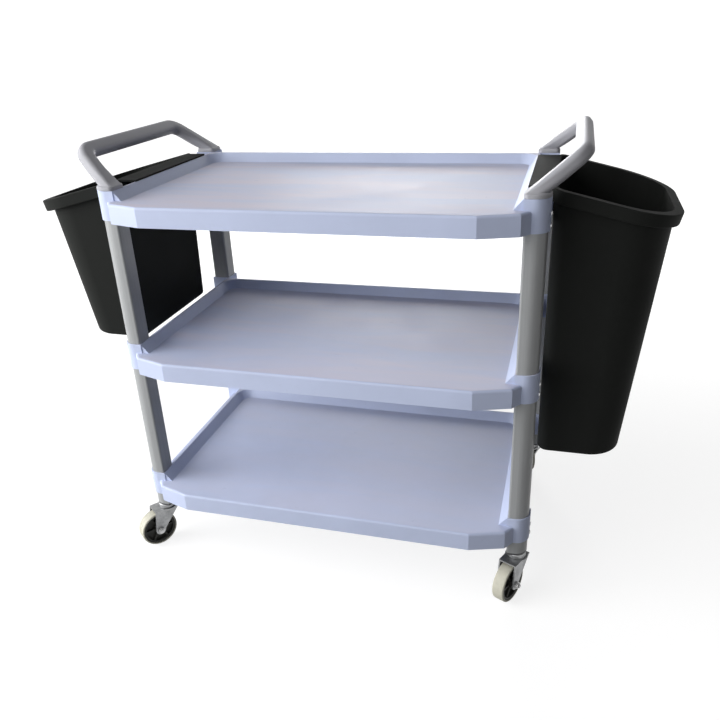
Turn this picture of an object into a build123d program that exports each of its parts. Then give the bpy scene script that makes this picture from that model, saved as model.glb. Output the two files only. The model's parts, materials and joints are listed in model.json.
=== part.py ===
from build123d import *
import os
from math import atan2, cos, degrees, hypot, radians, sin, tan

# Three-tier serving trolley with a hanging bin at each end, in millimetres.
# X runs along the trolley, -Y is the front, Z is up from the floor, and the origin is the floor centre.

# Chassis: the plan of the corner sleeves and how far apart the shelves stand
LENGTH = 817.0            # over the corner sleeves
DEPTH = 460.0             # over the corner sleeves
SHELF_PITCH = 305.0       # deck to deck

# Shelf moulding: a flat deck with a skirt, a raised wall on three sides and a sleeve at each corner
LIP_HEIGHT = 37.0         # skirt below the deck
DECK_THICKNESS = 4.0
DECK_ROUNDING = 5.0
WALL = 4.0
SLEEVE_WALL = 2.5
FRONT_OVERHANG = 40.0     # front lip beyond the sleeves, at mid length
FACET_LENGTH = 66.0       # angled stretch of the front lip beside a sleeve
FACET_SETBACK = 20.0
END_SETBACK = 13.5        # end and back skirts stand this far inside the sleeves
WALL_RISE = 18.0          # raised wall above the deck
WALL_FLARE = 40.0         # degrees, its inner face leaning outward
WALL_TOP = 5.0            # width of its top
WALL_INSET_X = 37.5       # its outer face inside the sleeves' outer faces, at the ends
WALL_INSET_Y = 43.0       # the same at the back
WALL_FRONT_SETBACK = 2.0  # its front ends behind the sleeves' front faces
WALL_ROUNDING = 1.2
FLOOR_ROUNDING = 20.0
RIB_THICKNESS = 3.0
RIB_SETBACK = 2.0         # ribs stop short of the skirt's lower edge
RIBS_ALONG = 4
RIBS_ACROSS = 7

# Corner posts: hollow extrusions with one large round corner
POST_SIZE = 38.0
POST_WALL = 2.5
POST_ROUND = 24.0
POST_BORE_EDGE = 1.5      # small rounding of the bore's other three corners
POST_TOE = 28.0           # post below the bottom shelf's skirt
SLIP_FIT = 0.15           # gap per side between a post and what slides over or into it

# Screws through sleeve and post wall, two to a corner
SCREW_DIAMETER = 4.0
SCREW_LENGTH = 12.0
SCREW_HEAD_DIAMETER = 8.0
SCREW_HEAD_HEIGHT = 2.4
SCREW_DROP = 10.0         # upper screw below the deck
SCREW_RAISE = 7.0         # lower screw above the skirt's lower edge
SCREW_MARGIN = 1.0        # head to the start of the sleeve's round corner
SCREW_FIT = 0.05          # per side

# Hanger straps on the ends of the top shelf, where the bins hook on
STRAP_WIDTH = 70.0
STRAP_DROP = 8.0          # strap's top edge below the deck
STRAP_RAISE = 5.0         # strap's lower edge above the skirt's lower edge
STRAP_SPACING = 160.0     # between the two straps of one end

# Handle: a moulded loop on the two posts of one end
GRIP_WIDTH = 30.0
GRIP_THICKNESS = 24.0
GRIP_ROUNDING = 9.0
HANDLE_REACH = 43.5       # middle of the grip beyond the sleeves
HANDLE_RISE = 78.5        # middle of the grip above the top deck
GRIP_LENGTH = 344.0       # grip between the crossings of its bends
GRIP_BEND = 34.0
FOOT_HEIGHT = 14.0        # block at the foot of each arm
FOOT_EDGE = 9.0           # its upright edges, away from the round corner
FOOT_ROUNDING = 7.0
PLUG_DEPTH = 58.0         # spigot down inside the post

# Caster socket: plug in the lower end of a post
SOCKET_DEPTH = 42.0
SOCKET_FLANGE = 4.0

# Caster
WHEEL_DIAMETER = 80.0
TYRE_WIDTH = 25.0
TREAD_THICKNESS = 4.0
TYRE_ROUNDING = 3.0
TYRE_FIT = 0.02
HUB_RIM_WIDTH = 22.0
HUB_RIM_THICKNESS = 5.0
HUB_WEB = 7.0
HUB_BOSS_DIAMETER = 22.0
HUB_SIDE_GAP = 1.0        # boss to fork leg
HUB_RIBS = 6
HUB_RIB_THICKNESS = 3.5
HUB_RIB_SETBACK = 2.0     # ribs stand below the rim's side
TRAIL = 30.0              # axle behind the swivel axis
FORK_PLATE = 3.0
FORK_SIDE_GAP = 3.0       # tyre to fork leg
CROWN_GAP = 4.5           # wheel to the underside of the fork crown
CROWN_DIAMETER = 44.0
LEG_FOOT_RADIUS = 11.0
LEG_FRONT = 19.0          # leg's front edge ahead of the swivel axis, at the crown
LEG_BACK = 5.0            # leg's back edge behind the axle, at the crown
AXLE_DIAMETER = 8.0
BUSH_WALL = 2.0
BUSH_END_GAP = 0.2
RUNNING_FIT = 0.05        # radial gap of every turning fit
SEAT_FIT = 0.1            # radial gap of fixed pins and stems
BOLT_HEX = 13.0
BOLT_HEAD = 5.3
NUT_HEIGHT = 6.5
BOLT_TAIL = 2.5           # thread past the nut
STEM_DIAMETER = 12.0
STEM_LENGTH = 36.0
RACE_DIAMETER = 37.0
RACE_HEIGHT = 10.0
RACE_ROUNDING = 3.0
RACE_GAP = 0.5            # race to crown
KINGPIN_HEAD_DIAMETER = 20.0
KINGPIN_HEAD_HEIGHT = 4.0
KINGPIN_GAP = 0.3

# Brake pedal on the casters of the back
BRAKE_BEHIND = 20.0       # pin behind the axle
BRAKE_DROP = 3.5          # pin below the crown's top
BRAKE_PIN_DIAMETER = 5.0
BRAKE_EAR = 7.0           # radius of the fork leg around the pin
BRAKE_BARREL_DIAMETER = 10.0
BRAKE_SIDE_GAP = 0.5
BRAKE_PRESS = 14.0        # degrees from free to locked
BRAKE_SHOE_GAP = 0.5      # left between shoe and tyre when locked
BRAKE_SHOE_LENGTH = 15.0
BRAKE_SHOE_DEPTH = 17.0
PEDAL_LENGTH = 28.0
PEDAL_THICKNESS = 3.5
PEDAL_LIFT = 8.0          # degrees the free pedal points up
PEDAL_LIP = 8.0
PEDAL_ROUNDING = 3.0

# Heading of each caster at rest, degrees from +X to where its wheel trails
HEADINGS = {"front_left": 232.0, "front_right": 245.0, "back_left": 103.0, "back_right": 111.0}
BRAKED = ("back_left", "back_right")

# Hanging bins: flat towards the trolley, tapering on the other three sides
BIN_DEPTH = 212.5         # over the rim, along X
BIN_WIDTH = 340.0         # over the rim, along Y
BIN_WALL = 3.5
BIN_FLOOR = 4.0
BIN_LIP_OUT = 8.0         # rim beyond the outer wall
BIN_LIP_SIDE = 11.0       # rim beyond the side walls
BIN_TAPER_SIDE = 2.7      # degrees, side walls
BIN_ROUND_OUT = 92.0      # at the rim
BIN_ROUND_LOW = 60.0      # the same corners at the bottom
BIN_ROUND_IN = 20.0
BIN_BOTTOM_FILLET = 8.0
BIN_RIM_FALL = 53.0       # fall of the rim from the trolley side to its outer edge
BIN_SKIRT = 22.0
BIN_SKIRT_WALL = 3.0
BIN_RIM_ROUNDING = 2.0
BIN_GAP = 1.0             # bin to strap, and strap to hook tongue
FLANGE_THICKNESS = 3.5    # hanging flange, lying on the raised wall of the top shelf
FLANGE_WIDTH = 290.0
FLANGE_REST = 3.5         # its overlap on the raised wall's top
HOOK_THICKNESS = 5.0
HOOK_WIDTH = 50.0
HOOK_LENGTH = 22.0        # tongue below the strap's top edge
LARGE_BIN_DROP = 492.5    # bin's bottom below the top deck
LARGE_BIN_TAPER = 5.9     # degrees, outer wall
SMALL_BIN_DROP = 311.0
SMALL_BIN_TAPER = 11.0

# Heights, worked up from the floor
WHEEL_RADIUS = WHEEL_DIAMETER / 2
CROWN_BOTTOM = WHEEL_DIAMETER + CROWN_GAP
CROWN_TOP = CROWN_BOTTOM + FORK_PLATE
CASTER_HEIGHT = CROWN_TOP + RACE_GAP + RACE_HEIGHT
POST_BOTTOM = CASTER_HEIGHT + SOCKET_FLANGE
BOTTOM_DECK = POST_BOTTOM + POST_TOE + LIP_HEIGHT
MIDDLE_DECK = BOTTOM_DECK + SHELF_PITCH
TOP_DECK = MIDDLE_DECK + SHELF_PITCH
POST_TOP = TOP_DECK + WALL_RISE
BIN_RIM_RAISE = WALL_RISE + FLANGE_THICKNESS

# Plan positions
POST_EDGE = POST_BORE_EDGE + POST_WALL
SLEEVE_SIZE = POST_SIZE + 2 * (SLIP_FIT + SLEEVE_WALL)
SLEEVE_ROUND = POST_ROUND + SLIP_FIT + SLEEVE_WALL
SLEEVE_X = LENGTH / 2 - SLEEVE_SIZE / 2
SLEEVE_Y = DEPTH / 2 - SLEEVE_SIZE / 2
SLEEVE_IN_X = SLEEVE_X - SLEEVE_SIZE / 2
FRONT_Y = DEPTH / 2 + FRONT_OVERHANG
END_X = LENGTH / 2 - END_SETBACK
BACK_Y = DEPTH / 2 - END_SETBACK
WALL_X = LENGTH / 2 - WALL_INSET_X
WALL_Y = DEPTH / 2 - WALL_INSET_Y
WALL_FRONT = DEPTH / 2 - WALL_FRONT_SETBACK
SCREW_Y = SLEEVE_Y + SLEEVE_SIZE / 2 - SLEEVE_ROUND - SCREW_MARGIN - SCREW_HEAD_DIAMETER / 2
BIN_X = LENGTH / 2 + BIN_GAP
PIN_X = TRAIL + BRAKE_BEHIND
PIN_Z = CROWN_TOP - BRAKE_DROP
LEG_IN = TYRE_WIDTH / 2 + FORK_SIDE_GAP
LEG_OUT = LEG_IN + FORK_PLATE

CORNERS = {
    "front_left": (-1, -1),
    "front_right": (1, -1),
    "back_left": (-1, 1),
    "back_right": (1, 1),
}


def at_corner(corner, z=0.0):
    """Place at a post's axis, turned so that +X +Y points out of the trolley's corner."""
    sx, sy = CORNERS[corner]
    turn = degrees(atan2(sy, sx)) - 45
    return Pos(sx * SLEEVE_X, sy * SLEEVE_Y, z) * Rot(0, 0, turn)


def corner_square(size, round_radius, edge_radius=0.0):
    """Square outline whose +X +Y corner is the large round one."""
    square = Rectangle(size, size)
    if edge_radius:
        by_reach = square.vertices().sort_by(lambda v: v.X + v.Y)
        square = fillet(by_reach[:3], edge_radius)
    outer = square.vertices().sort_by(lambda v: v.X + v.Y)[-1]
    return fillet(outer, round_radius)


def prism(face, bottom, height):
    return extrude(Pos(0, 0, bottom) * face, amount=height)


def box_between(low, high):
    size = [b - a for a, b in zip(low, high)]
    middle = [(a + b) / 2 for a, b in zip(low, high)]
    return Pos(*middle) * Box(*size)


def rod(diameter, length):
    """Cylinder standing on the XY plane."""
    return Cylinder(diameter / 2, length, align=(Align.CENTER, Align.CENTER, Align.MIN))


def cross_rod(diameter, y_low, y_high):
    """Cylinder along Y between two places."""
    return Pos(0, y_high, 0) * Rot(90, 0, 0) * rod(diameter, y_high - y_low)


def post():
    """Corner extrusion, standing at its own axis."""
    height = POST_TOP - POST_BOTTOM
    outside = corner_square(POST_SIZE, POST_ROUND, POST_EDGE)
    inside = corner_square(POST_SIZE - 2 * POST_WALL, POST_ROUND - POST_WALL, POST_BORE_EDGE)
    return prism(outside - inside, POST_BOTTOM, height)


def screw_places(corner, deck):
    """Where a corner's screws enter the sleeve's end face, with +Z along each screw."""
    sx, sy = CORNERS[corner]
    places = []
    for drop in (SCREW_DROP, LIP_HEIGHT - SCREW_RAISE):
        places.append(Pos(sx * LENGTH / 2, sy * SCREW_Y, deck - drop) * Rot(0, -sx * 90, 0))
    return places


def screw():
    """Domed screw; its head rests on the XY plane and its shank runs along +Z."""
    shank = rod(SCREW_DIAMETER, SCREW_LENGTH)
    head = Pos(0, 0, -SCREW_HEAD_HEIGHT) * rod(SCREW_HEAD_DIAMETER, SCREW_HEAD_HEIGHT)
    head = fillet(head.edges().group_by(Axis.Z)[0], SCREW_HEAD_HEIGHT * 0.7)
    return head + shank


def screw_holes(deck):
    """Cutters for every screw of one shelf level."""
    drill = rod(SCREW_DIAMETER + 2 * SCREW_FIT, SCREW_LENGTH + 1)
    return [place * drill for corner in CORNERS for place in screw_places(corner, deck)]


def lip_plan():
    """Outline of a shelf's skirt, with the angled stretches of the front lip beside the sleeves."""
    facet_x = SLEEVE_IN_X - FACET_LENGTH
    facet_y = FRONT_Y - FACET_SETBACK
    right = [
        (facet_x, -FRONT_Y),
        (SLEEVE_IN_X, -facet_y),
        (END_X, -SLEEVE_Y),
        (END_X, SLEEVE_Y),
        (SLEEVE_X, BACK_Y),
    ]
    left = [(-x, y) for x, y in reversed(right)]
    return make_face(Polyline(*right, *left, close=True))


def sleeve_squares():
    """Plain squares over the four sleeves."""
    square = Rectangle(SLEEVE_SIZE, SLEEVE_SIZE)
    return [Pos(sx * SLEEVE_X, sy * SLEEVE_Y) * square for sx, sy in CORNERS.values()]


def floor_void(deck, inset):
    """Flaring space above the deck, open at the front; an inset draws it in by a wall's thickness."""
    flare = radians(WALL_FLARE)
    foot = WALL_TOP + WALL_RISE * tan(flare)
    grow = inset * (1 / cos(flare) - tan(flare))
    half_x = WALL_X - foot + grow
    back_y = WALL_Y - foot + grow
    plan = Pos(0, (back_y - 2 * FRONT_Y) / 2) * Rectangle(2 * half_x, back_y + 2 * FRONT_Y)
    plan = fillet(plan.vertices().group_by(Axis.Y)[-1], FLOOR_ROUNDING)
    return extrude(Pos(0, 0, deck - inset) * plan, amount=WALL_RISE + inset + 1, taper=-WALL_FLARE)


def raised_wall(deck):
    """Flared wall along the ends and the back, hollow underneath."""
    top = deck + WALL_RISE
    wall = box_between((-WALL_X, -WALL_FRONT, deck - DECK_THICKNESS), (WALL_X, WALL_Y, top))
    wall -= floor_void(deck, 0)
    wall = fillet(wall.faces().sort_by(Axis.Z)[-1].edges(), WALL_ROUNDING)
    inside_x = WALL_X - WALL
    hollow = box_between(
        (-inside_x, WALL - WALL_FRONT, deck - DECK_THICKNESS - 1),
        (inside_x, WALL_Y - WALL, top - WALL),
    )
    return wall - (hollow - floor_void(deck, DECK_THICKNESS))


def shelf_ribs(deck):
    """Stiffening ribs under the deck, out to the skirt."""
    top = deck - DECK_THICKNESS / 2
    bottom = deck - LIP_HEIGHT + RIB_SETBACK
    half = RIB_THICKNESS / 2
    x_end = END_X - WALL / 2
    ribs = []
    for i in range(RIBS_ALONG):
        y = (FRONT_Y + BACK_Y) * (i + 1) / (RIBS_ALONG + 1) - FRONT_Y
        ribs.append(box_between((-x_end, y - half, bottom), (x_end, y + half, top)))
    for i in range(RIBS_ACROSS):
        x = (SLEEVE_IN_X - FACET_LENGTH) * (2 * i / (RIBS_ACROSS - 1) - 1)
        ribs.append(box_between((x - half, WALL / 2 - FRONT_Y, bottom), (x + half, BACK_Y - WALL / 2, top)))
    return ribs


def hanger_straps(deck):
    """Two straps on each end skirt; a bin's hooks drop behind them."""
    top = deck - STRAP_DROP
    bottom = deck - LIP_HEIGHT + STRAP_RAISE
    half = STRAP_WIDTH / 2
    straps = []
    for sx in (-1, 1):
        for y in (-STRAP_SPACING / 2, STRAP_SPACING / 2):
            xs = sorted((sx * (LENGTH / 2 - WALL), sx * LENGTH / 2))
            straps.append(box_between((xs[0], y - half, bottom), (xs[1], y + half, top)))
            xs = sorted((sx * (END_X - WALL / 2), sx * LENGTH / 2))
            for side in (y - half, y + half - WALL):
                straps.append(box_between((xs[0], side, bottom), (xs[1], side + WALL, top)))
    return straps


def shelf(deck, with_hangers=False):
    """One shelf moulding with its deck at the given height."""
    low = deck - LIP_HEIGHT
    body = prism(lip_plan(), low, LIP_HEIGHT)
    body = fillet(body.faces().sort_by(Axis.Z)[-1].edges(), DECK_ROUNDING)
    under_plan = offset(lip_plan(), amount=-WALL, kind=Kind.INTERSECTION)
    for square in sleeve_squares():
        under_plan -= square
    body -= prism(under_plan, low, LIP_HEIGHT - DECK_THICKNESS)
    inside_x = WALL_X - WALL
    gutter = box_between(
        (-inside_x, WALL - WALL_FRONT, deck - DECK_THICKNESS - 1),
        (inside_x, WALL_Y - WALL, deck + 1),
    )
    body -= gutter - floor_void(deck, DECK_THICKNESS)
    body += raised_wall(deck)
    body += shelf_ribs(deck)
    sleeve = corner_square(SLEEVE_SIZE, SLEEVE_ROUND)
    sleeve_block = prism(sleeve, low, LIP_HEIGHT + WALL_RISE)
    sleeve_block = fillet(sleeve_block.faces().sort_by(Axis.Z)[-1].edges(), WALL_ROUNDING)
    for corner in CORNERS:
        body += at_corner(corner) * sleeve_block
    if with_hangers:
        body += hanger_straps(deck)
    bore = corner_square(POST_SIZE + 2 * SLIP_FIT, POST_ROUND + SLIP_FIT, POST_EDGE + SLIP_FIT)
    for corner in CORNERS:
        body -= at_corner(corner) * prism(bore, low - 1, LIP_HEIGHT + WALL_RISE + 2)
    return body - screw_holes(deck)


def handle():
    """Loop on the right-hand posts: two feet with spigots, two arms and the grip."""
    start_z = POST_TOP + FOOT_HEIGHT / 2
    run = LENGTH / 2 + HANDLE_REACH - SLEEVE_X
    climb = TOP_DECK + HANDLE_RISE - start_z
    slope = atan2(climb, run)
    tilted = Plane(
        origin=(SLEEVE_X, 0, start_z),
        x_dir=(0, 1, 0),
        z_dir=(sin(slope), 0, -cos(slope)),
    )
    half = GRIP_LENGTH / 2
    reach = hypot(run, climb)
    corners = [(-SLEEVE_Y, 0), (-half, reach), (half, reach), (SLEEVE_Y, 0)]
    route = tilted * FilletPolyline(*corners, radius=GRIP_BEND)
    end = Plane(origin=route @ 0, x_dir=tilted.z_dir, z_dir=route % 0)
    loop = sweep(end * RectangleRounded(GRIP_THICKNESS, GRIP_WIDTH, GRIP_ROUNDING), path=route)
    foot_plan = corner_square(SLEEVE_SIZE, SLEEVE_ROUND, FOOT_EDGE)
    foot = prism(foot_plan, POST_TOP, FOOT_HEIGHT)
    foot = fillet(foot.faces().sort_by(Axis.Z)[-1].edges(), FOOT_ROUNDING)
    spigot_size = POST_SIZE - 2 * (POST_WALL + SLIP_FIT)
    spigot_edge = POST_BORE_EDGE - SLIP_FIT
    spigot_plan = corner_square(spigot_size, POST_ROUND - POST_WALL - SLIP_FIT, spigot_edge)
    foot += prism(spigot_plan, POST_TOP - PLUG_DEPTH, PLUG_DEPTH)
    for corner in ("front_right", "back_right"):
        loop += at_corner(corner) * foot
    return loop - screw_holes(TOP_DECK)


def caster_sockets():
    """Four plugs in the lower ends of the posts, each bored for a caster stem."""
    size = POST_SIZE - 2 * (POST_WALL + SLIP_FIT)
    edge = POST_BORE_EDGE - SLIP_FIT
    plug = prism(corner_square(size, POST_ROUND - POST_WALL - SLIP_FIT, edge), POST_BOTTOM, SOCKET_DEPTH)
    plug += prism(corner_square(POST_SIZE, POST_ROUND, POST_EDGE), CASTER_HEIGHT, SOCKET_FLANGE)
    plug -= Pos(0, 0, CASTER_HEIGHT) * rod(STEM_DIAMETER + 2 * SEAT_FIT, STEM_LENGTH + 1)
    plugs = [at_corner(corner) * plug for corner in CORNERS]
    holes = screw_holes(BOTTOM_DECK)
    return Compound(children=[solid for p in plugs for solid in (p - holes).solids()])


def caster_stem():
    """Fixed half of the swivel: stem, upper race and the kingpin with its riveted head."""
    stem = Pos(0, 0, CASTER_HEIGHT) * rod(STEM_DIAMETER, STEM_LENGTH)
    stem = chamfer(stem.edges().group_by(Axis.Z)[-1], 1.0)
    race = Pos(0, 0, CASTER_HEIGHT - RACE_HEIGHT) * rod(RACE_DIAMETER, RACE_HEIGHT)
    race = fillet(race.edges().group_by(Axis.Z)[-1], RACE_ROUNDING)
    head_top = CROWN_BOTTOM - KINGPIN_GAP
    kingpin = Pos(0, 0, head_top) * rod(STEM_DIAMETER, CASTER_HEIGHT - RACE_HEIGHT - head_top)
    head = Pos(0, 0, head_top - KINGPIN_HEAD_HEIGHT) * rod(KINGPIN_HEAD_DIAMETER, KINGPIN_HEAD_HEIGHT)
    head = fillet(head.edges().group_by(Axis.Z)[0], KINGPIN_HEAD_HEIGHT * 0.4)
    return stem + race + kingpin + head


def side_plate(outline, y_low, y_high):
    """Plate between two places along Y, from an outline drawn in X and Z."""
    upright = Plane(origin=(0, y_high, 0), x_dir=(1, 0, 0), z_dir=(0, -1, 0))
    return extrude(upright * outline, amount=y_high - y_low)


def fork(braked):
    """Pressed fork: crown plate and two legs, with ears for the brake pin where there is a brake."""
    leg = make_face(Polyline(
        (-LEG_FRONT, CROWN_TOP),
        (TRAIL + LEG_BACK, CROWN_TOP),
        (TRAIL + LEG_FOOT_RADIUS, WHEEL_RADIUS),
        (TRAIL - LEG_FOOT_RADIUS, WHEEL_RADIUS),
        close=True,
    ))
    leg += Pos(TRAIL, WHEEL_RADIUS) * Circle(LEG_FOOT_RADIUS)
    if braked:
        leg += make_face(Polyline(
            (TRAIL, CROWN_TOP),
            (PIN_X, PIN_Z + BRAKE_EAR),
            (PIN_X + BRAKE_EAR * 0.6, PIN_Z - BRAKE_EAR * 0.8),
            (TRAIL + LEG_BACK, WHEEL_RADIUS + LEG_FOOT_RADIUS),
            close=True,
        ))
        leg += Pos(PIN_X, PIN_Z) * Circle(BRAKE_EAR)
    body = side_plate(leg, LEG_IN, LEG_OUT) + side_plate(leg, -LEG_OUT, -LEG_IN)
    body += box_between((-LEG_FRONT, -LEG_OUT, CROWN_BOTTOM), (TRAIL + LEG_BACK, LEG_OUT, CROWN_TOP))
    body += Pos(0, 0, CROWN_BOTTOM) * rod(CROWN_DIAMETER, FORK_PLATE)
    body -= Pos(0, 0, CROWN_BOTTOM - 1) * rod(STEM_DIAMETER + 2 * RUNNING_FIT, FORK_PLATE + 2)
    body -= Pos(TRAIL, 0, WHEEL_RADIUS) * cross_rod(AXLE_DIAMETER + 2 * SEAT_FIT, -LEG_OUT - 1, LEG_OUT + 1)
    if braked:
        body -= Pos(PIN_X, 0, PIN_Z) * cross_rod(BRAKE_PIN_DIAMETER + 2 * SEAT_FIT, -LEG_OUT - 1, LEG_OUT + 1)
    return body


def hexagon(across_flats):
    return RegularPolygon(across_flats / 2, 6, major_radius=False)


def axle_bolt():
    """Bolt through both legs, its head on the -Y side."""
    shank = cross_rod(AXLE_DIAMETER, -LEG_OUT, LEG_OUT + NUT_HEIGHT + BOLT_TAIL)
    head = Pos(0, -LEG_OUT, 0) * Rot(90, 0, 0) * extrude(hexagon(BOLT_HEX), amount=BOLT_HEAD)
    return Pos(TRAIL, 0, WHEEL_RADIUS) * (shank + head)


def axle_nut():
    nut = Pos(0, LEG_OUT + NUT_HEIGHT, 0) * Rot(90, 0, 0) * extrude(hexagon(BOLT_HEX), amount=NUT_HEIGHT)
    nut -= cross_rod(AXLE_DIAMETER + 2 * SEAT_FIT, LEG_OUT - 1, LEG_OUT + NUT_HEIGHT + 1)
    return Pos(TRAIL, 0, WHEEL_RADIUS) * nut


def axle_bush():
    """Spacer tube clamped between the legs; the hub turns on it."""
    half = LEG_IN - BUSH_END_GAP
    bore = AXLE_DIAMETER + 2 * SEAT_FIT
    tube = cross_rod(bore + 2 * BUSH_WALL, -half, half)
    tube -= cross_rod(bore, -half - 1, half + 1)
    return Pos(TRAIL, 0, WHEEL_RADIUS) * tube


def wheel_hub():
    """Moulded core: boss, web, ribs and rim."""
    half_boss = LEG_IN - HUB_SIDE_GAP
    rim_radius = WHEEL_RADIUS - TREAD_THICKNESS - TYRE_FIT
    rim_inside = rim_radius - HUB_RIM_THICKNESS
    hub = cross_rod(HUB_BOSS_DIAMETER, -half_boss, half_boss)
    hub += cross_rod(2 * rim_radius, -HUB_WEB / 2, HUB_WEB / 2)
    ring = cross_rod(2 * rim_radius, -HUB_RIM_WIDTH / 2, HUB_RIM_WIDTH / 2)
    hub += ring - cross_rod(2 * rim_inside, -HUB_RIM_WIDTH, HUB_RIM_WIDTH)
    rib_half = HUB_RIM_WIDTH / 2 - HUB_RIB_SETBACK
    rib_start = HUB_BOSS_DIAMETER / 2 - 1
    rib = box_between(
        (rib_start, -rib_half, -HUB_RIB_THICKNESS / 2),
        (rim_inside + 1, rib_half, HUB_RIB_THICKNESS / 2),
    )
    hub += [Rot(0, i * 360 / HUB_RIBS, 0) * rib for i in range(HUB_RIBS)]
    bush_radius = AXLE_DIAMETER / 2 + SEAT_FIT + BUSH_WALL
    hub -= cross_rod(2 * (bush_radius + RUNNING_FIT), -half_boss - 1, half_boss + 1)
    return Pos(TRAIL, 0, WHEEL_RADIUS) * hub


def tyre():
    half = TYRE_WIDTH / 2
    ring = cross_rod(WHEEL_DIAMETER, -half, half)
    ring = fillet(ring.edges(), TYRE_ROUNDING)
    ring -= cross_rod(WHEEL_DIAMETER - 2 * TREAD_THICKNESS, -half - 1, half + 1)
    return Pos(TRAIL, 0, WHEEL_RADIUS) * ring


def brake_pin():
    pin = cross_rod(BRAKE_PIN_DIAMETER, -LEG_OUT - 1, LEG_OUT + 1)
    return Pos(PIN_X, 0, PIN_Z) * pin


def brake_pedal():
    """Free pedal: barrel on the pin, foot plate with an upturned lip, and the shoe over the tyre."""
    half = LEG_IN - BRAKE_SIDE_GAP
    barrel = cross_rod(BRAKE_BARREL_DIAMETER, -half, half)
    plate = box_between((0, -half, -PEDAL_THICKNESS / 2), (PEDAL_LENGTH, half, PEDAL_THICKNESS / 2))
    lip = box_between(
        (PEDAL_LENGTH - PEDAL_THICKNESS, -half, 0),
        (PEDAL_LENGTH, half, PEDAL_LIP),
    )
    foot = plate + lip
    foot = fillet(foot.edges().filter_by(Axis.Z).group_by(Axis.X)[-1], PEDAL_ROUNDING)
    pedal = barrel + Rot(0, -PEDAL_LIFT, 0) * foot
    shoe_half = TYRE_WIDTH / 2
    pedal += box_between((0, -shoe_half, -BRAKE_SHOE_DEPTH), (BRAKE_SHOE_LENGTH, shoe_half, 0))
    tyre_room = cross_rod(WHEEL_DIAMETER + 2 * BRAKE_SHOE_GAP, -LEG_OUT, LEG_OUT)
    wheel_from_pin = Pos(TRAIL - PIN_X, 0, WHEEL_RADIUS - PIN_Z)
    pedal -= Rot(0, -BRAKE_PRESS, 0) * wheel_from_pin * tyre_room
    pedal -= cross_rod(BRAKE_PIN_DIAMETER + 2 * RUNNING_FIT, -half - 1, half + 1)
    return Pos(PIN_X, 0, PIN_Z) * pedal


def bin_plan(x_low, x_high, half_width, round_out, round_in):
    """Bin outline: large round corners away from the trolley, smaller ones towards it."""
    plan = Pos((x_low + x_high) / 2, 0) * Rectangle(x_high - x_low, 2 * half_width)
    by_x = plan.vertices().group_by(Axis.X)
    plan = fillet(by_x[-1], round_out)
    inner = plan.vertices().sort_by(Axis.X)[:2]
    return fillet(inner, round_in)


def bin_form(drop, taper, inset, floor):
    """Tapered solid from the bin's bottom to above its rim, drawn in by an inset on every side."""
    top = BIN_RIM_RAISE + 1
    bottom = floor - drop
    sections = []
    for z, round_out in ((bottom, BIN_ROUND_LOW), (top, BIN_ROUND_OUT)):
        out = BIN_DEPTH - BIN_LIP_OUT - (top - z) * tan(radians(taper))
        half = BIN_WIDTH / 2 - BIN_LIP_SIDE - (top - z) * tan(radians(BIN_TAPER_SIDE))
        plan = bin_plan(inset, out - inset, half - inset, round_out - inset, BIN_ROUND_IN - inset)
        sections.append(Pos(0, 0, z) * plan)
    form = loft(sections, ruled=True)
    return fillet(form.faces().sort_by(Axis.Z)[0].edges(), BIN_BOTTOM_FILLET - inset)


def bin_hooks():
    """Hanging flange and the two tongues behind the straps, drawn with the bin's flat wall at X = 0."""
    flange_in = WALL_X - FLANGE_REST - BIN_X
    half = FLANGE_WIDTH / 2
    hooks = [box_between((flange_in, -half, WALL_RISE), (BIN_WALL / 2, half, BIN_RIM_RAISE))]
    tongue_out = -2 * BIN_GAP - WALL
    tongue_low = -STRAP_DROP - HOOK_LENGTH
    half = HOOK_WIDTH / 2
    for y in (-STRAP_SPACING / 2, STRAP_SPACING / 2):
        hooks.append(box_between(
            (tongue_out - HOOK_THICKNESS, y - half, tongue_low),
            (tongue_out, y + half, BIN_RIM_RAISE),
        ))
    return hooks


def hanging_bin(drop, taper):
    """Bin of the right-hand end, its bottom the given drop below the top deck."""
    fall = atan2(BIN_RIM_FALL, BIN_DEPTH)
    rim_plane = Plane(
        origin=(0, 0, BIN_RIM_RAISE),
        x_dir=(cos(fall), 0, -sin(fall)),
        z_dir=(sin(fall), 0, cos(fall)),
    )
    outside = bin_form(drop, taper, 0, 0)
    inside = bin_form(drop, taper, BIN_WALL, BIN_FLOOR)
    rim_length = BIN_DEPTH / cos(fall)
    rim_plan = bin_plan(0, rim_length, BIN_WIDTH / 2, BIN_ROUND_OUT + BIN_LIP_SIDE, BIN_ROUND_IN)
    above = extrude(rim_plane * Rectangle(4 * BIN_DEPTH, 4 * BIN_DEPTH), amount=BIN_DEPTH)
    body = outside - above
    rim = extrude(rim_plane * rim_plan, amount=-BIN_SKIRT)
    rim = fillet(rim.faces().sort_by(Axis.Z)[-1].edges(), BIN_RIM_ROUNDING)
    under = offset(rim_plan, amount=-BIN_SKIRT_WALL)
    under_rim = extrude(rim_plane.offset(-BIN_SKIRT_WALL) * under, amount=-BIN_SKIRT)
    body = body + (rim - under_rim) - inside
    body += bin_hooks()
    return Pos(BIN_X, 0, TOP_DECK) * body


def caster_place(corner):
    sx, sy = CORNERS[corner]
    return Pos(sx * SLEEVE_X, sy * SLEEVE_Y, 0) * Rot(0, 0, HEADINGS[corner])


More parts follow.
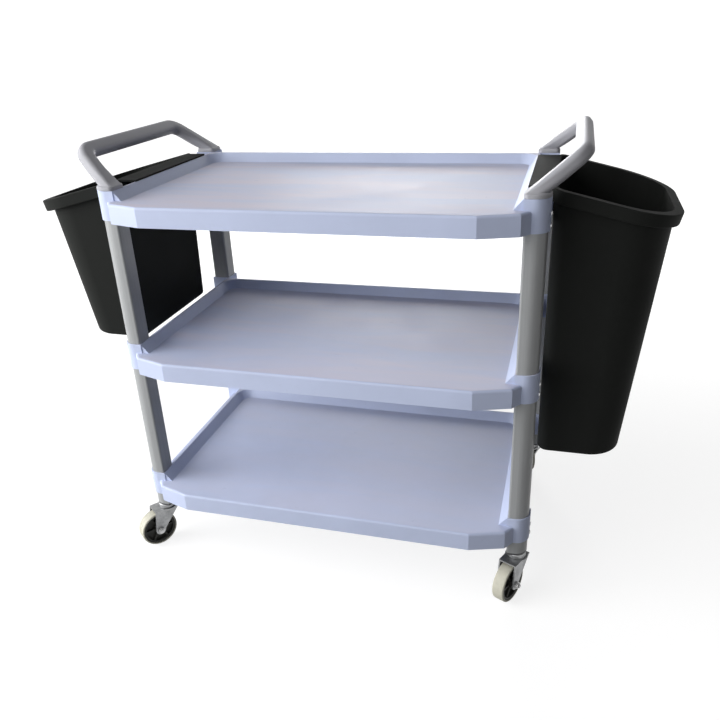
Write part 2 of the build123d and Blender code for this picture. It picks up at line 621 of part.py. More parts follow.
def build_parts():
    """Every node of the trolley, by name."""
    nodes = {
        "top_shelf": shelf(TOP_DECK, with_hangers=True),
        "middle_shelf": shelf(MIDDLE_DECK),
        "bottom_shelf": shelf(BOTTOM_DECK),
        "handle_right": handle(),
        "caster_sockets": caster_sockets(),
        "bin_right": hanging_bin(LARGE_BIN_DROP, LARGE_BIN_TAPER),
        "bin_left": mirror(hanging_bin(SMALL_BIN_DROP, SMALL_BIN_TAPER), about=Plane.YZ),
    }
    nodes["handle_left"] = mirror(nodes["handle_right"], about=Plane.YZ)
    plain_post = post()
    holes = screw_holes(BOTTOM_DECK) + screw_holes(MIDDLE_DECK) + screw_holes(TOP_DECK)
    one_screw = screw()
    for level, decks in {"shelf": (BOTTOM_DECK, MIDDLE_DECK), "handle": (TOP_DECK,)}.items():
        screws = [
            place * one_screw
            for deck in decks
            for corner in CORNERS
            for place in screw_places(corner, deck)
        ]
        nodes[f"{level}_screws"] = Compound(children=[s for item in screws for s in item.solids()])
    caster_pieces = {
        "stem": caster_stem(),
        "axle_bolt": axle_bolt(),
        "axle_nut": axle_nut(),
        "axle_bush": axle_bush(),
        "hub": wheel_hub(),
        "tyre": tyre(),
    }
    forks = {braked: fork(braked) for braked in (False, True)}
    brake_pieces = {"brake_pedal": brake_pedal(), "brake_pin": brake_pin()}
    for corner in CORNERS:
        nodes[f"post_{corner}"] = at_corner(corner) * plain_post - holes
        place = caster_place(corner)
        nodes[f"caster_{corner}_fork"] = place * forks[corner in BRAKED]
        for piece, shape in caster_pieces.items():
            nodes[f"caster_{corner}_{piece}"] = place * shape
        if corner in BRAKED:
            for piece, shape in brake_pieces.items():
                nodes[f"caster_{corner}_{piece}"] = place * shape
    return nodes


os.makedirs("parts", exist_ok=True)
for node_name, node_shape in build_parts().items():
    export_step(node_shape, f"parts/{node_name}.step")
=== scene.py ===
import json
from math import cos, pi, radians, sin, tan

import bmesh
import bpy
from mathutils import Matrix, Vector


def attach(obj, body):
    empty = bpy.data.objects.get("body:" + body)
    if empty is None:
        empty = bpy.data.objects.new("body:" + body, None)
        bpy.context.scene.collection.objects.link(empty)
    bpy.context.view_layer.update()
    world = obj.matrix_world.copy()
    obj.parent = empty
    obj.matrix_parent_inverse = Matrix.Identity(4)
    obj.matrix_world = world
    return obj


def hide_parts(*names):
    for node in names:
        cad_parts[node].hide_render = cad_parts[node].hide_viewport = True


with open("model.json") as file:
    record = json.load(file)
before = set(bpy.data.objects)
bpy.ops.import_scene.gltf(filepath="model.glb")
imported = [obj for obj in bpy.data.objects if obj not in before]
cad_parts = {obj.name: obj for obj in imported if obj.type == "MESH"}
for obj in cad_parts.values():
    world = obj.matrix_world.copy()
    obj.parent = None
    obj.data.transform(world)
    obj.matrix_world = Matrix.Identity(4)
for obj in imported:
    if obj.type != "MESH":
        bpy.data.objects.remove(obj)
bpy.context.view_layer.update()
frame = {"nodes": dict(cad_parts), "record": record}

scene = bpy.context.scene

# Sizes of the trolley that the added pieces sit on, in metres, in the same frame as the solids
POST_X = 0.38685
POST_Y = 0.20835
POST_TOP = 0.795
DECKS = {"bottom": 0.167, "middle": 0.472, "top": 0.777}

# Casters: the side of the trolley in x and y, and the heading of the fork in degrees
CASTERS = {
    "front_left": (-1, -1, 232),
    "front_right": (1, -1, 245),
    "back_left": (-1, 1, 103),
    "back_right": (1, 1, 111),
}


class Shader:
    """A material under construction: a few shorthand calls over its node tree."""

    def __init__(self, name):
        self.material = bpy.data.materials.new(name)
        self.material.use_nodes = True
        self.tree = self.material.node_tree
        self.surface = self.tree.nodes["Principled BSDF"]
        self.place = self.add("ShaderNodeTexCoord").outputs["Object"]

    def add(self, kind, **settings):
        node = self.tree.nodes.new(kind)
        for key, value in settings.items():
            setattr(node, key, value)
        return node

    def link(self, source, target):
        self.tree.links.new(source, target)

    def stretched(self, scale):
        node = self.add("ShaderNodeMapping")
        node.inputs["Scale"].default_value = scale
        self.link(self.place, node.inputs["Vector"])
        return node.outputs["Vector"]

    def noise(self, scale, detail=3.0, rough=0.55, distort=0.0, vector=None):
        node = self.add("ShaderNodeTexNoise")
        node.inputs["Scale"].default_value = scale
        node.inputs["Detail"].default_value = detail
        node.inputs["Roughness"].default_value = rough
        node.inputs["Distortion"].default_value = distort
        self.link(vector or self.place, node.inputs["Vector"])
        return node.outputs["Fac"]

    def cells(self, scale):
        node = self.add("ShaderNodeTexVoronoi", feature="F1")
        node.inputs["Scale"].default_value = scale
        self.link(self.place, node.inputs["Vector"])
        return node.outputs["Distance"]

    def spread(self, value, low, high, out_low=0.0, out_high=1.0, curve="LINEAR"):
        """The range from low to high, stretched onto the range from out_low to out_high."""
        node = self.add("ShaderNodeMapRange", clamp=True, interpolation_type=curve)
        self.link(value, node.inputs["Value"])
        node.inputs["From Min"].default_value = low
        node.inputs["From Max"].default_value = high
        node.inputs["To Min"].default_value = out_low
        node.inputs["To Max"].default_value = out_high
        return node.outputs["Result"]

    def vary(self, noise, out_low=0.0, out_high=1.0):
        """A noise stretched onto a range: nearly all of its values lie between 0.3 and 0.7."""
        return self.spread(noise, 0.3, 0.7, out_low, out_high)

    def math(self, operation, a, b=None):
        node = self.add("ShaderNodeMath", operation=operation)
        for socket, value in zip(node.inputs, (a, b)):
            if isinstance(value, (int, float)):
                socket.default_value = value
            elif value is not None:
                self.link(value, socket)
        return node.outputs["Value"]

    def times(self, a, b):
        return self.math("MULTIPLY", a, b)

    def mix(self, factor, a, b):
        node = self.add("ShaderNodeMix", data_type="RGBA")
        self.link(factor, node.inputs["Factor"])
        for socket, value in zip((node.inputs[6], node.inputs[7]), (a, b)):
            if isinstance(value, tuple):
                socket.default_value = (*value, 1.0)
            else:
                self.link(value, socket)
        return node.outputs[2]

    def scratches(self, scale, width, cover):
        """Sparse thin lines where a noise crosses its middle value."""
        swirl = self.noise(scale, detail=2.0, rough=0.5, distort=1.5)
        away = self.math("ABSOLUTE", self.math("SUBTRACT", swirl, 0.5))
        lines = self.spread(away, 0.0, width, 1.0, 0.0)
        patches = self.spread(self.noise(scale * 2.3, detail=2.0), 1 - cover, 1.05 - cover)
        return self.times(lines, patches)

    def face_normal(self):
        return self.add("ShaderNodeNewGeometry").outputs["Normal"]

    def edges(self, radius, flat_cosine=0.98, corner_cosine=0.80):
        """How sharply the surface turns within a radius, from 0 on flats to 1 on corners."""
        soft = self.add("ShaderNodeBevel", samples=4)
        soft.inputs["Radius"].default_value = radius
        dot = self.add("ShaderNodeVectorMath", operation="DOT_PRODUCT")
        self.link(soft.outputs["Normal"], dot.inputs[0])
        self.link(self.face_normal(), dot.inputs[1])
        return self.spread(dot.outputs["Value"], flat_cosine, corner_cosine)

    def upward(self, vector):
        node = self.add("ShaderNodeSeparateXYZ")
        self.link(vector, node.inputs[0])
        return node.outputs["Z"]

    def painted_overhead_light(self):
        """Painted warm overhead light: streaks along level upper faces, none on slopes and walls, and more
        on the upper shelves.
        """
        lengthwise = self.stretched((0.35, 2.2, 1.0))
        smear = self.noise(6.0, detail=5.0, rough=0.62, distort=0.5, vector=lengthwise)
        streaks = self.spread(smear, 0.38, 0.62, 0.1, 0.95)
        level_share = self.spread(self.upward(self.face_normal()), 0.90, 0.98)
        height_share = self.spread(self.upward(self.place), 0.15, 0.60, 0.3, 1.0)
        return self.times(self.times(streaks, level_share), height_share)

    def bump(self, height, strength, distance):
        node = self.add("ShaderNodeBump")
        node.inputs["Strength"].default_value = strength
        node.inputs["Distance"].default_value = distance
        self.link(height, node.inputs["Height"])
        return node.outputs["Normal"]

    def finish(self, color, rough, normal, **constants):
        """Links the three varying inputs, and sets the others on the surface's own sockets."""
        self.link(color, self.surface.inputs["Base Color"])
        self.link(rough, self.surface.inputs["Roughness"])
        self.link(normal, self.surface.inputs["Normal"])
        for key, value in constants.items():
            self.surface.inputs[key.replace("_", " ")].default_value = value
        return self.material


def shade(color, factor):
    return tuple(channel * factor for channel in color)


def plastic(name, color, rough=0.45, grain=0.0012, depth=0.00006, scuff=0.3, specular=0.5, overhead_light_tint=None):
    """Moulded plastic: fine grain, cloudy colour, faint scuffs, worn edges and, if given, painted warm
    overhead light on level upper faces.
    """
    s = Shader(name)
    cloud = s.noise(9.0, detail=4.0)
    pits = s.noise(1 / grain, detail=2.0, rough=0.6)
    scuffs = s.scratches(14.0, width=0.006, cover=0.42)
    worn = s.times(s.edges(0.0012), s.spread(s.noise(60.0), 0.35, 0.7))
    tone = s.mix(s.vary(cloud), shade(color, 0.95), shade(color, 1.03))
    # Painted light: level upper faces are tinted towards the given warm colour, as light from above would
    # tint them
    if overhead_light_tint:
        tone = s.mix(s.painted_overhead_light(), tone, overhead_light_tint)
    tone = s.mix(s.times(scuffs, scuff), tone, shade(color, 0.80))
    tone = s.mix(s.times(worn, 0.5), tone, shade(color, 1.12))
    uneven = s.math("ADD", s.times(cloud, 0.6), s.times(pits, 0.4))
    gloss = s.vary(uneven, rough - 0.06, rough + 0.08)
    gloss = s.math("ADD", gloss, s.times(scuffs, 0.12))
    normal = s.bump(pits, 0.35, depth)
    return s.finish(tone, gloss, normal, Specular_IOR_Level=specular)


def brushed_post(name, color):
    """Satin aluminium drawn along its length."""
    s = Shader(name)
    along = s.stretched((1.0, 1.0, 0.012))
    lines = s.noise(1400.0, rough=0.6, vector=along)
    broad = s.noise(160.0, detail=2.0, rough=0.5, vector=along)
    cloud = s.noise(7.0)
    scuffs = s.scratches(22.0, width=0.006, cover=0.40)
    tone = s.mix(s.vary(broad), shade(color, 0.93), shade(color, 1.05))
    tone = s.mix(s.times(scuffs, 0.4), tone, shade(color, 0.72))
    uneven = s.math("ADD", s.times(lines, 0.5), s.times(cloud, 0.5))
    gloss = s.vary(uneven, 0.30, 0.46)
    normal = s.bump(lines, 0.25, 0.00004)
    return s.finish(tone, gloss, normal, Metallic=0.05, Specular_IOR_Level=0.3)


def zinc(name, color, rough):
    """Plated metal with a faint spangle and dull patches."""
    s = Shader(name)
    spangle = s.cells(190.0)
    cloud = s.noise(45.0, detail=4.0)
    worn = s.edges(0.0006)
    tone = s.mix(s.spread(spangle, 0.1, 0.8), shade(color, 0.88), shade(color, 1.08))
    tone = s.mix(s.spread(cloud, 0.50, 0.75, 0.0, 0.5), tone, shade(color, 0.60))
    tone = s.mix(s.times(worn, 0.5), tone, shade(color, 1.25))
    gloss = s.vary(cloud, rough - 0.08, rough + 0.16)
    normal = s.bump(s.noise(900.0, detail=2.0), 0.2, 0.00004)
    return s.finish(tone, gloss, normal, Metallic=0.9)


def rubber(name, color):
    """Pale tread with dusty patches and fine pitting."""
    s = Shader(name)
    cloud = s.noise(70.0, detail=4.0)
    pits = s.noise(1600.0, detail=2.0)
    dust = s.spread(s.noise(30.0, detail=5.0, rough=0.65), 0.48, 0.72)
    tone = s.mix(s.vary(cloud), shade(color, 0.92), shade(color, 1.04))
    tone = s.mix(s.times(dust, 0.45), tone, shade(color, 0.55))
    gloss = s.vary(cloud, 0.55, 0.72)
    normal = s.bump(pits, 0.3, 0.00005)
    return s.finish(tone, gloss, normal)


# How each material slot is made: its kind, its colour and what differs from the kind's usual finish
FINISHES = {
    # The shelf's last colour is painted warm overhead light, laid in streaks on its level upper faces
    "shelf_plastic": (plastic, (0.535, 0.595, 0.785), {
        "rough": 0.52, "grain": 0.0014, "depth": 0.00007, "specular": 0.32, "overhead_light_tint": (0.63, 0.605, 0.72)}),
    "post_aluminium": (brushed_post, (0.335, 0.343, 0.348), {}),
    "handle_plastic": (plastic, (0.41, 0.41, 0.44), {"rough": 0.52, "depth": 0.00005, "specular": 0.18}),
    "socket_plastic": (plastic, (0.06, 0.06, 0.065), {"rough": 0.50}),
    "screw_steel": (zinc, (0.60, 0.60, 0.60), {"rough": 0.32}),
    "bin_plastic": (plastic, (0.0165, 0.0175, 0.0165), {
        "rough": 0.64, "grain": 0.0010, "depth": 0.00008, "scuff": 0.5, "specular": 0.04}),
    "caster_steel": (zinc, (0.33, 0.335, 0.34), {"rough": 0.40}),
    "bolt_steel": (zinc, (0.50, 0.50, 0.50), {"rough": 0.32}),
    "bush_brass": (zinc, (0.60, 0.44, 0.20), {"rough": 0.32}),
    "wheel_plastic": (plastic, (0.046, 0.046, 0.040), {"rough": 0.52, "specular": 0.25}),
    "tyre_rubber": (rubber, (0.58, 0.565, 0.47), {}),
    "pedal_plastic": (plastic, (0.08, 0.08, 0.085), {"rough": 0.48}),
}
MATERIALS = {slot: kind(slot, color, **finish) for slot, (kind, color, finish) in FINISHES.items()}

slot_of = {row["node"]: row["material_slot"] for row in frame["record"]["subparts"]}
for node_name, node in frame["nodes"].items():
    for material_slot in node.material_slots:
        material_slot.material = MATERIALS[slot_of[node_name]]


def angles(count):
    """Equal steps round a full turn."""
    return [2 * pi * i / count for i in range(count)]


def join_rows(bm, low, high):
    """Quads between two neighbouring closed rows of vertices."""
    count = len(low)
    for i in range(count):
        j = (i + 1) % count
        bm.faces.new((low[i], low[j], high[j], high[i]))


def close_end(bm, row):
    """A fan of triangles from a closed row of vertices to its middle."""
    count = len(row)
    middle = bm.verts.new(sum((vertex.co for vertex in row), Vector()) / count)
    for i in range(count):
        bm.faces.new((row[i], row[(i + 1) % count], middle))


def skin(bm, rings, closed_along=False):
    """Closed skin over rings of points: the last ring joins the first, or each end gets a fan."""
    rows = [[bm.verts.new(point) for point in ring] for ring in rings]
    for low, high in zip(rows, rows[1:]):
        join_rows(bm, low, high)
    if closed_along:
        join_rows(bm, rows[-1], rows[0])
    else:
        close_end(bm, rows[0][::-1])
        close_end(bm, rows[-1])


SHARP = radians(32)


def new_piece(name, bm, slot, body, replaced):
    """A finished mesh as a named piece that rides on a body and stands for the given node."""
    bmesh.ops.recalc_face_normals(bm, faces=bm.faces)
    for face in bm.faces:
        face.smooth = True
    for edge in bm.edges:
        if edge.calc_face_angle() > SHARP:
            edge.smooth = False
    mesh = bpy.data.meshes.new(name)
    bm.to_mesh(mesh)
    bm.free()
    mesh.materials.append(MATERIALS[slot])
    piece = bpy.data.objects.new(name, mesh)
    scene.collection.objects.link(piece)
    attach(piece, body)
    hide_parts(replaced)


# Screws through the outer faces of the sleeves
SLEEVE_X = 0.4085
SCREW_Y = POST_Y - 0.010
SCREW_DROPS = (0.010, 0.030)
SCREW_TURNS = 48
SCREW_HEAD_STEPS = 14
SCREW_INNERMOST = 0.01
SCREW_HEAD_RADIUS = 0.004
SCREW_HEAD_HEIGHT = 0.0024
DOME_DROP = 0.62
DOME_POWER = 2.6
RECESS_REACH = 0.0022
RECESS_HALF_WIDTH = 0.00045
RECESS_DEPTH = 0.0014
SCREW_SHANK = 0.002
SCREW_LENGTH = 0.012


def head_surface(x, y):
    """Height of the domed head over its seat, with the cross recess taken off."""
    reach = (x * x + y * y) ** 0.5 / SCREW_HEAD_RADIUS
    height = SCREW_HEAD_HEIGHT * (1 - DOME_DROP * reach ** DOME_POWER)
    near, far = sorted((abs(x), abs(y)))
    if near < RECESS_HALF_WIDTH:
        height -= RECESS_DEPTH * (1 - min(far / RECESS_REACH, 1.0) ** 4)
    return height


def add_screw(bm, place):
    """Screw that enters along +Z of the given place, with its head's seat at the origin."""
    rings = []
    for step in range(SCREW_HEAD_STEPS + 1):
        radius = SCREW_HEAD_RADIUS * max(step / SCREW_HEAD_STEPS, SCREW_INNERMOST)
        points = [(radius * cos(a), radius * sin(a)) for a in angles(SCREW_TURNS)]
        rings.append([Vector((x, y, -head_surface(x, y))) for x, y in points])
    shank = (
        (SCREW_HEAD_RADIUS, 0.0),
        (SCREW_SHANK, 0.0),
        (SCREW_SHANK, SCREW_LENGTH * 0.9),
        (SCREW_SHANK * 0.5, SCREW_LENGTH),
    )
    for radius, z in shank:
        rings.append([Vector((radius * cos(a), radius * sin(a), z)) for a in angles(SCREW_TURNS)])
    skin(bm, [[place @ point for point in ring] for ring in rings])


def screws(name, decks, replaced):
    """Two screws in each corner sleeve of the given decks, every recess at an angle of its own."""
    bm = bmesh.new()
    for deck in decks:
        for sx, sy, _ in CASTERS.values():
            for drop in SCREW_DROPS:
                height = DECKS[deck] - drop
                place = Matrix.Translation((sx * SLEEVE_X, sy * SCREW_Y, height))
                inward = Matrix.Rotation(-sx * pi / 2, 4, "Y")
                spin = Matrix.Rotation(90 * height + sx + 2 * sy, 4, "Z")
                add_screw(bm, place @ inward @ spin)
    new_piece(name, bm, "screw_steel", "chassis", replaced)


screws("shelf_screw_set", ("bottom", "middle"), "shelf_screws")
screws("handle_screw_set", ("top",), "handle_screws")


# Treads, axle bolts and nuts. Pairs are a radius and a place along the axle, from the wheel's middle.
TRAIL = 0.030
WHEEL_RADIUS = 0.040
TREAD_TURNS = 96
TREAD_SIDE = ((0.0360, 0.0122), (0.0366, 0.0122), (0.0368, 0.0125))
TREAD_CROWN = ((0.03993, 0.0060), (WHEEL_RADIUS, 0.0025))
TREAD_SHOULDER_MIDDLE = (0.0369, 0.0095)
TREAD_SHOULDER_RADIUS = 0.0030
TREAD_SHOULDER_STEPS = 6
LEG_OUT = 0.0185
BOLT_TURNS = 72
FLATS = 0.013
BOLT_HEX = ((0.0058, -0.0238), (0.0066, -0.0234), (0.0080, -0.0228), (0.0080, -0.0191))
BOLT_FLANGE = ((0.0061, -0.0189), (0.0061, -LEG_OUT), (0.0040, -LEG_OUT))
NUT_FLANGE = ((0.0041, LEG_OUT), (0.0062, LEG_OUT), (0.0062, 0.0188))
NUT_HEX = ((0.0080, 0.0191), (0.0080, 0.0226), (0.0069, 0.0232))
NUT_COLLAR = ((0.0056, 0.0233), (0.0056, 0.0247), (0.0051, 0.0250), (0.0041, 0.0250))
BOLT_RADIUS = 0.0040
BOLT_TIP = (0.0034, 0.0275)
THREAD_ROOT = 0.0037
THREAD_START = 0.0252
THREAD_PITCH = 0.00025
THREAD_FLANK = 0.00012
THREAD_COUNT = 9


def tread_profile():
    """Outline of the tread ring: rounded shoulders, a step on the side and a crowned tread."""
    middle_radius, middle_y = TREAD_SHOULDER_MIDDLE
    right = list(TREAD_SIDE)
    for step in range(TREAD_SHOULDER_STEPS + 1):
        a = pi / 2 * step / TREAD_SHOULDER_STEPS
        radius = middle_radius + TREAD_SHOULDER_RADIUS * sin(a)
        right.append((radius, middle_y + TREAD_SHOULDER_RADIUS * cos(a)))
    right += TREAD_CROWN
    left = [(radius, -y) for radius, y in reversed(right)]
    return right + left


def hexagon_radius(angle, flats):
    """Distance to the side of a hexagon with the given size across its flats."""
    part = (angle + pi / 6) % (pi / 3) - pi / 6
    return flats / 2 / cos(part)


def about_axle(axle, radius, angle, y):
    return axle @ Vector((radius * cos(angle), y, radius * sin(angle)))


def round_rings(levels, axle):
    return [[about_axle(axle, radius, a, y) for a in angles(BOLT_TURNS)] for radius, y in levels]


def hex_rings(levels, axle):
    """Rings of a hexagon whose corners are turned down to each level's own largest radius."""
    rings = []
    for limit, y in levels:
        radii = [(min(hexagon_radius(a, FLATS), limit), a) for a in angles(BOLT_TURNS)]
        rings.append([about_axle(axle, radius, a, y) for radius, a in radii])
    return rings


def tread(axle):
    bm = bmesh.new()
    profile = tread_profile()
    rings = [[about_axle(axle, radius, a, y) for radius, y in profile] for a in angles(TREAD_TURNS)]
    skin(bm, rings, closed_along=True)
    return bm


def bolt(axle):
    """Head, flange and the threaded end; the shank between the fork's legs is left plain."""
    bm = bmesh.new()
    thread = [(BOLT_RADIUS, NUT_COLLAR[-1][1])]
    for turn in range(THREAD_COUNT):
        crest = THREAD_START + THREAD_PITCH * turn
        thread += [(BOLT_RADIUS, crest), (THREAD_ROOT, crest + THREAD_FLANK)]
    thread.append(BOLT_TIP)
    skin(bm, hex_rings(BOLT_HEX, axle) + round_rings(BOLT_FLANGE, axle) + round_rings(thread, axle))
    return bm


def nut(axle):
    bm = bmesh.new()
    rings = round_rings(NUT_FLANGE, axle) + hex_rings(NUT_HEX, axle) + round_rings(NUT_COLLAR, axle)
    skin(bm, rings, closed_along=True)
    return bm


for corner, (sx, sy, heading) in CASTERS.items():
    stem = Matrix.Translation((sx * POST_X, sy * POST_Y, 0)) @ Matrix.Rotation(radians(heading), 4, "Z")
    axle = stem @ Matrix.Translation((TRAIL, 0, WHEEL_RADIUS))
    caster = f"caster_{corner}"
    swivel = f"{caster}_swivel"
    new_piece(f"{caster}_tread", tread(axle), "tyre_rubber", f"{caster}_wheel", f"{caster}_tyre")
    new_piece(f"{caster}_bolt", bolt(axle), "bolt_steel", swivel, f"{caster}_axle_bolt")
    new_piece(f"{caster}_nut", nut(axle), "bolt_steel", swivel, f"{caster}_axle_nut")


# Loop handles
GRIP_X = 0.452
GRIP_Z = 0.8555
GRIP_HALF = 0.172
GRIP_BEND = 0.034
BEND_STEPS = 12
GRIP_STEPS = 8
BAR_HALF_WIDTH = 0.015
BAR_HALF_HEIGHT = 0.012
BAR_CORNER = 0.009
SPIGOT_HALF = 0.01635
SPIGOT_DEPTH = 0.058
SPIGOT_CORNERS = (0.0213, 0.0014, 0.0014, 0.0014)
FOOT_HALF = 0.02165
FOOT_ROUND_CORNER = 0.0262
FOOT_CORNER = 0.009
FOOT_CHAMFER = 0.0006
FOOT_SHOULDER = 0.004
FOOT_SHOULDER_RINGS = 5
ARM_START = 0.007
ARM_SWELL = 0.034
ARM_BLEND = 0.018
BLEND_STEPS = 10
CORNER_STEPS = 8


def outline(half_u, half_v, radii):
    """Rounded rectangle as (u, v) points, with a radius of its own at each corner."""
    points = []
    for k, (su, sv) in enumerate(((1, 1), (-1, 1), (-1, -1), (1, -1))):
        r = radii[k]
        for step in range(CORNER_STEPS + 1):
            a = pi / 2 * (k + step / CORNER_STEPS)
            points.append((su * (half_u - r) + r * cos(a), sv * (half_v - r) + r * sin(a)))
    return points


def foot_sections():
    """Heights over the post's top and outlines: the spigot inside the post, then the rounded foot."""
    spigot = outline(SPIGOT_HALF, SPIGOT_HALF, SPIGOT_CORNERS)
    sections = [(-SPIGOT_DEPTH, spigot), (0.0, spigot)]
    insets = [(0.0, FOOT_CHAMFER), (FOOT_CHAMFER, 0.0)]
    for k in range(FOOT_SHOULDER_RINGS):
        a = pi / 8 * k
        insets.append((FOOT_SHOULDER + FOOT_SHOULDER * sin(a), FOOT_SHOULDER * (1 - cos(a))))
    for height, inset in insets:
        half = FOOT_HALF - inset
        corner = FOOT_CORNER - inset
        radii = (FOOT_ROUND_CORNER - inset, corner, corner, corner)
        sections.append((height, outline(half, half, radii)))
    return sections


def handle_rings():
    """Right-hand loop: from the front spigot up the swelling arm to mid-grip, then mirrored to the back."""
    across = Vector((1, 0, 0))
    along = Vector((0, 1, 0))
    upward = Vector((0, 0, 1))
    rings = []

    def add_ring(middle, u, v, points):
        rings.append([middle + u * a + v * b for a, b in points])

    post = Vector((POST_X, -POST_Y, 0))
    for height, points in foot_sections():
        add_ring(post + upward * (POST_TOP + height), -along, across, points)

    start = post + upward * (POST_TOP + ARM_START)
    rise = Vector((GRIP_X - POST_X, 0, GRIP_Z - start.z))
    arm = along * (POST_Y - GRIP_HALF) + rise
    arm_length = arm.length
    arm.normalize()
    rise.normalize()
    below = Vector((rise.z, 0, -rise.x))
    side = below.cross(arm)
    bar = outline(BAR_HALF_WIDTH, BAR_HALF_HEIGHT, (BAR_CORNER,) * 4)

    # The foot's last ring is drawn out along the arm into the section of the bar
    foot_top = rings[-1]
    emerging = [start + arm * ARM_SWELL + side * a + below * b for a, b in bar]
    beyond = [point + arm * ARM_BLEND for point in emerging]
    for step in range(1, BLEND_STEPS + 1):
        q = step / BLEND_STEPS
        near = (1 - q) ** 2
        between = 2 * q * (1 - q)
        points = zip(foot_top, emerging, beyond)
        rings.append([a * near + b * between + c * q * q for a, b, c in points])

    turn = arm.angle(along)
    bend_middle = start + arm * (arm_length - GRIP_BEND * tan(turn / 2)) - side * GRIP_BEND
    for step in range(BEND_STEPS + 1):
        a = turn * step / BEND_STEPS
        out = side * cos(a) + arm * sin(a)
        add_ring(bend_middle + out * GRIP_BEND, out, below, bar)
    bend_end = sum(rings[-1], Vector()) / len(bar)
    for step in range(1, GRIP_STEPS + 1):
        add_ring(bend_end + along * (-bend_end.y * step / GRIP_STEPS), rise, below, bar)
    back = [[Vector((p.x, -p.y, p.z)) for p in ring] for ring in reversed(rings[:-1])]
    return rings + back


for side_name, sx in (("left", -1), ("right", 1)):
    bm = bmesh.new()
    skin(bm, [[Vector((sx * p.x, p.y, p.z)) for p in ring] for ring in handle_rings()])
    new_piece(f"handle_{side_name}_loop", bm, "handle_plastic", "chassis", f"handle_{side_name}")


# Camera at the photograph's viewpoint; angles in radians, the focal length in pixels of the image
CAMERA_PLACE = Vector((0.435287, -1.382703, 1.059211))
CAMERA_YAW = 0.291818
CAMERA_PITCH = 0.437626
CAMERA_ROLL = -0.047105
FOCAL_PIXELS = 728.457
IMAGE_PIXELS = 720
SENSOR_WIDTH = 36.0

level = Vector((cos(CAMERA_YAW), sin(CAMERA_YAW), 0))
ahead = Vector((-sin(CAMERA_YAW), cos(CAMERA_YAW), 0))
forward = ahead * cos(CAMERA_PITCH) - Vector((0, 0, sin(CAMERA_PITCH)))
upright = ahead * sin(CAMERA_PITCH) + Vector((0, 0, cos(CAMERA_PITCH)))
right = level * cos(CAMERA_ROLL) + upright * sin(CAMERA_ROLL)
up = upright * cos(CAMERA_ROLL) - level * sin(CAMERA_ROLL)
camera_data = bpy.data.cameras.new("camera")
camera_data.sensor_width = SENSOR_WIDTH
camera_data.lens = FOCAL_PIXELS / IMAGE_PIXELS * SENSOR_WIDTH
camera = bpy.data.objects.new("camera", camera_data)
camera.matrix_world = Matrix((
    (right.x, up.x, -forward.x, CAMERA_PLACE.x),
    (right.y, up.y, -forward.y, CAMERA_PLACE.y),
    (right.z, up.z, -forward.z, CAMERA_PLACE.z),
    (0, 0, 0, 1),
))
scene.collection.objects.link(camera)
scene.camera = camera


# Round soft lamps: place, diameter and power in watts, all aimed at the middle of the trolley
LAMP_TARGET = Vector((0, 0, 0.5))
LAMPS = {
    "key": ((-2.7, -2.1, 1.9), 4.6, 165.0),
    "side": ((-3.3, -1.0, 1.9), 4.6, 46.0),
    "side_low": ((-3.2, -1.4, 0.95), 1.8, 38.0),
    "overhead": ((0.0, -0.2, 3.4), 3.6, 10.0),
    "behind": ((-0.6, 3.4, 1.0), 1.8, 70.0),
}
for lamp_name, (place, size, power) in LAMPS.items():
    lamp_data = bpy.data.lights.new(lamp_name, "AREA")
    lamp_data.shape = "DISK"
    lamp_data.size = size
    lamp_data.energy = power
    lamp = bpy.data.objects.new(lamp_name, lamp_data)
    lamp.location = place
    lamp.rotation_euler = (LAMP_TARGET - Vector(place)).to_track_quat("-Z", "Y").to_euler()
    scene.collection.objects.link(lamp)


# White floor that curves up all round into a wall, far from the trolley
FLOOR_RADIUS = 4.0
COVE_RADIUS = 1.5
COVE_STEPS = 12
WALL_TOP = 6.0
CENTRE_RADIUS = 0.001
BACKDROP_TURNS = 96
PAPER_DARK = (0.30, 0.30, 0.30)
PAPER_LIGHT = (0.34, 0.34, 0.34)
GLOW_RADII = (0.6, 2.6)
GLOW_LEVELS = (0.80, 1.0)


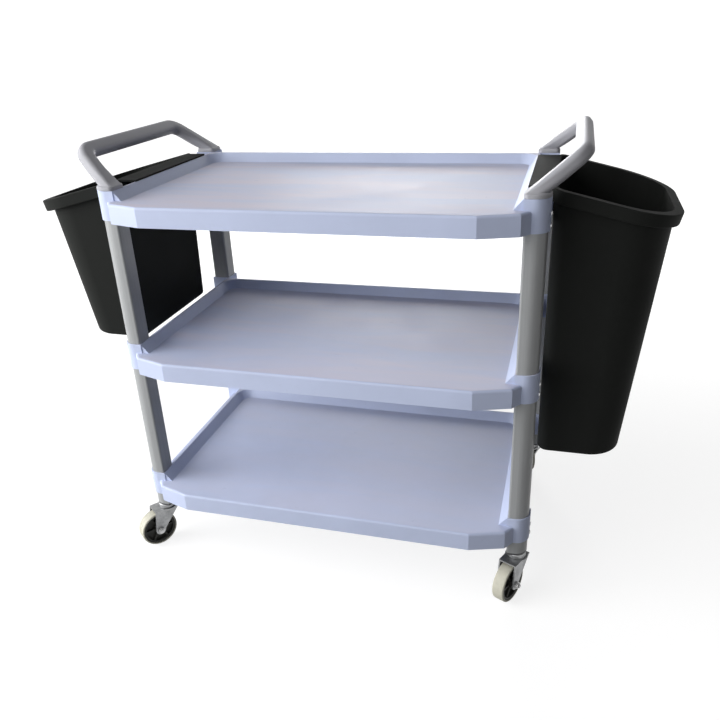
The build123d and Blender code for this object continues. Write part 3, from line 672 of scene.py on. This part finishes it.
def pale_surface(name):
    """White paper: lit and shadowed as a grey one, and bright where it is looked at or mirrored."""
    s = Shader(name)
    s.surface.inputs["Roughness"].default_value = 0.9
    s.surface.inputs["Specular IOR Level"].default_value = 0.0
    weave = s.add("ShaderNodeTexNoise")
    weave.inputs["Scale"].default_value = 3.0
    s.link(s.mix(weave.outputs["Fac"], PAPER_DARK, PAPER_LIGHT), s.surface.inputs["Base Color"])
    rays = s.add("ShaderNodeLightPath").outputs
    seen = s.math("MAXIMUM", rays["Is Camera Ray"], rays["Is Glossy Ray"])
    seen = s.math("MAXIMUM", seen, rays["Is Transmission Ray"])
    reach = s.add("ShaderNodeVectorMath", operation="LENGTH")
    s.link(s.place, reach.inputs[0])
    strength = s.spread(reach.outputs["Value"], *GLOW_RADII, *GLOW_LEVELS, curve="SMOOTHSTEP")
    glow = s.add("ShaderNodeEmission")
    s.link(s.times(seen, strength), glow.inputs["Strength"])
    both = s.add("ShaderNodeAddShader")
    s.link(s.surface.outputs[0], both.inputs[0])
    s.link(glow.outputs[0], both.inputs[1])
    s.link(both.outputs[0], s.tree.nodes["Material Output"].inputs["Surface"])
    return s.material


def backdrop():
    bm = bmesh.new()
    profile = [(CENTRE_RADIUS, 0.0), (FLOOR_RADIUS, 0.0)]
    for step in range(1, COVE_STEPS + 1):
        a = pi / 2 * step / COVE_STEPS
        profile.append((FLOOR_RADIUS + COVE_RADIUS * sin(a), COVE_RADIUS * (1 - cos(a))))
    profile.append((FLOOR_RADIUS + COVE_RADIUS, WALL_TOP))
    rows = []
    for radius, z in profile:
        rows.append([bm.verts.new((radius * cos(a), radius * sin(a), z)) for a in angles(BACKDROP_TURNS)])
    for low, high in zip(rows, rows[1:]):
        join_rows(bm, low, high)
    bm.faces.new(rows[0])
    for face in bm.faces:
        face.smooth = True
    mesh = bpy.data.meshes.new("backdrop")
    bm.to_mesh(mesh)
    bm.free()
    mesh.materials.append(pale_surface("backdrop_paper"))
    floor = bpy.data.objects.new("backdrop", mesh)
    scene.collection.objects.link(floor)


backdrop()

world = bpy.data.worlds.new("studio")
world.use_nodes = True
scene.world = world
world_light = world.node_tree.nodes["Background"]
world_light.inputs["Color"].default_value = (1, 1, 1, 1)
world_light.inputs["Strength"].default_value = 0.02
scene.view_settings.view_transform = "Standard"
